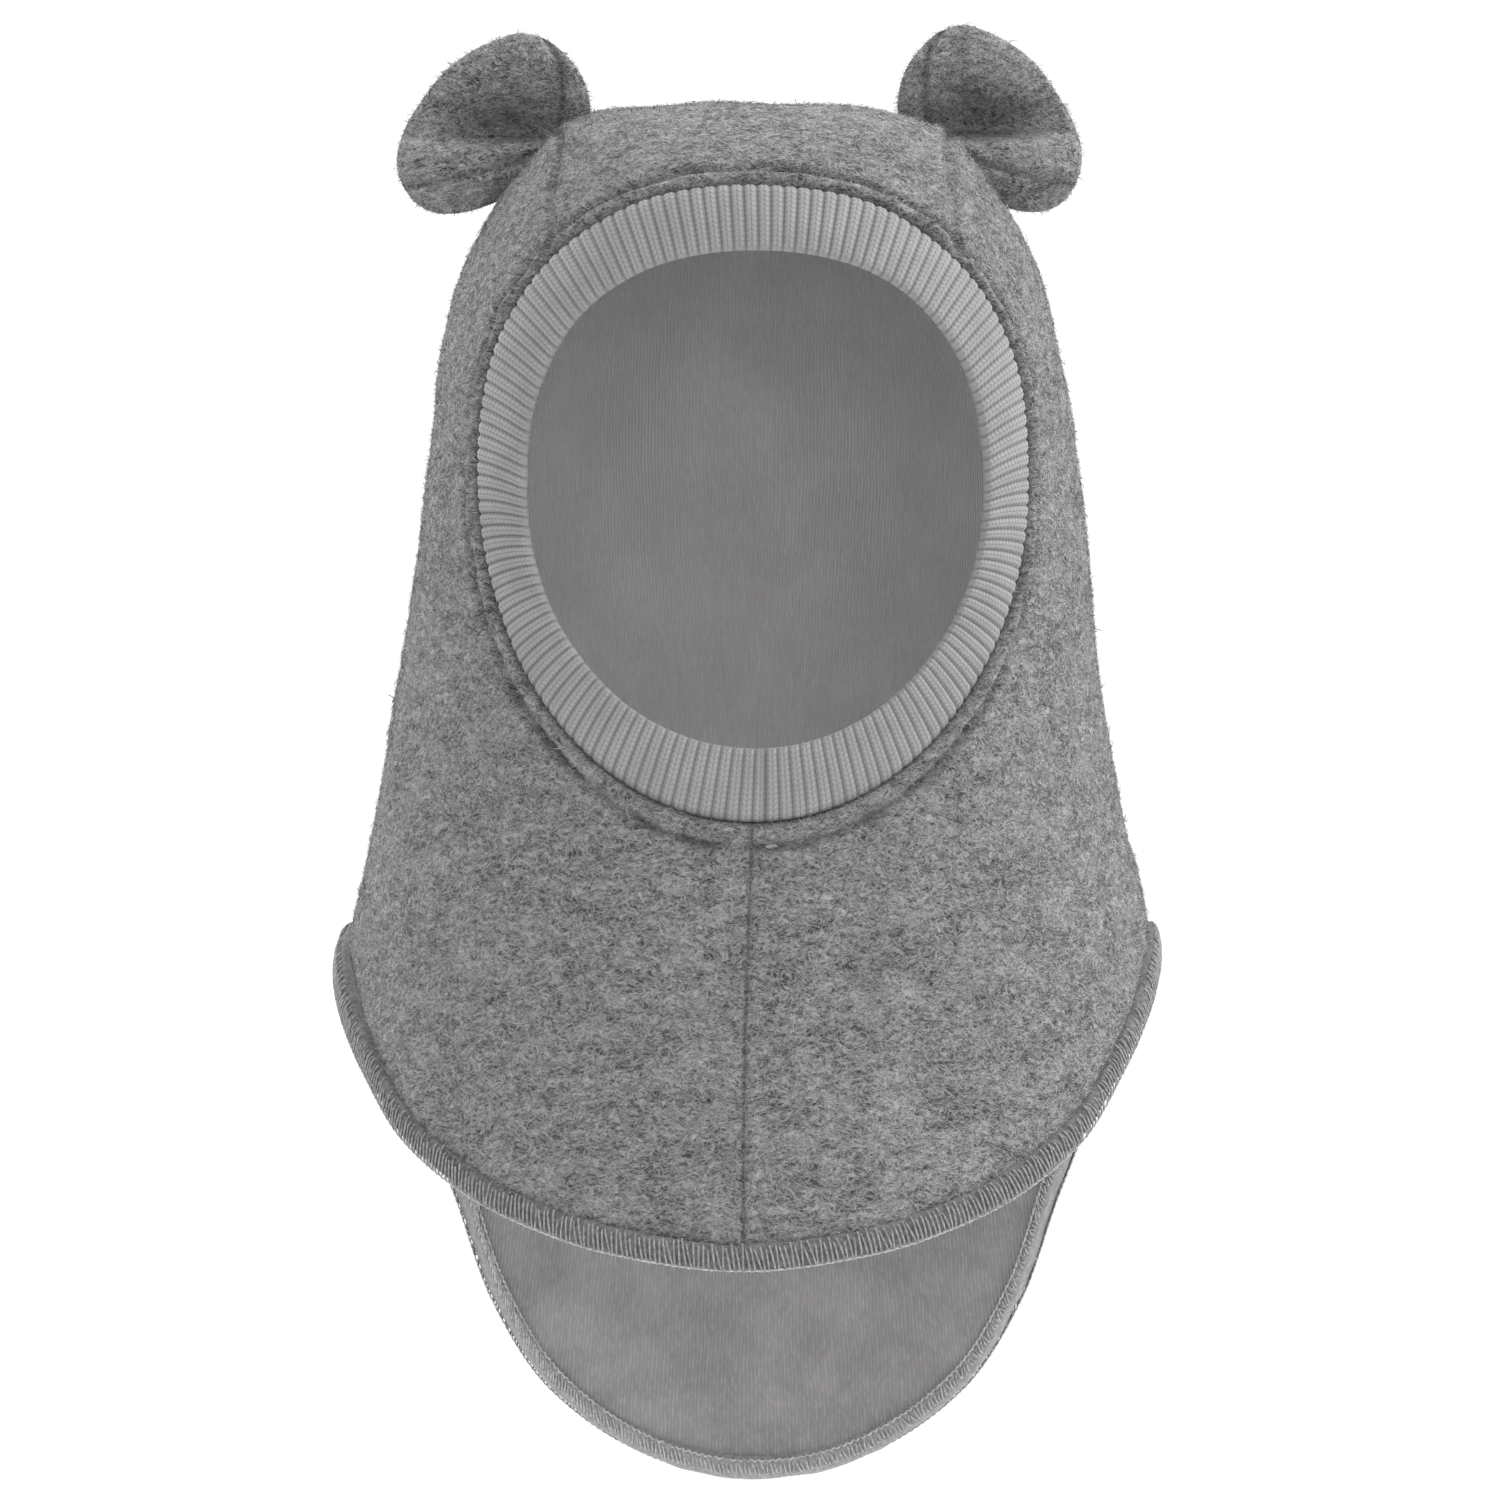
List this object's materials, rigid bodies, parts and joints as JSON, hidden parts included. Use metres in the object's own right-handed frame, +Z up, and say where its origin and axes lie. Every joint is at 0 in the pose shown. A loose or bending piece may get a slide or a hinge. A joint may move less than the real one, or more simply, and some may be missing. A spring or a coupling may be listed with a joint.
{
  "type": "baby balaclava hood",
  "caption": "Lined wool fleece baby hood with folded round ears, a ribbed band round the face opening, and bibs at the front and back with an overlocked hem.",
  "frame": {"origin": "inside top of the crown, where the wearer's head carries the hood", "axes": "+Z up, the face looks towards -Y, and the wearer's left side is at +X"},
  "size_m": [0.2141, 0.2145, 0.3865],
  "materials": {
    "wool_fleece": "brushed mottled grey wool",
    "velour_lining": "short smooth grey velour with fine wales",
    "rib_knit": "matt light grey rib knit",
    "overlock_thread": "matt grey overlock stitching"
  },
  "bodies": {
    "root": {"crown_centre_panel": "wool_fleece", "side_panel_left": "wool_fleece", "side_panel_right": "wool_fleece", "ear_left": "wool_fleece", "ear_right": "wool_fleece", "lining": "velour_lining", "face_rib_band": "rib_knit", "hem_overlock": "overlock_thread"}
  },
  "joints": []
}
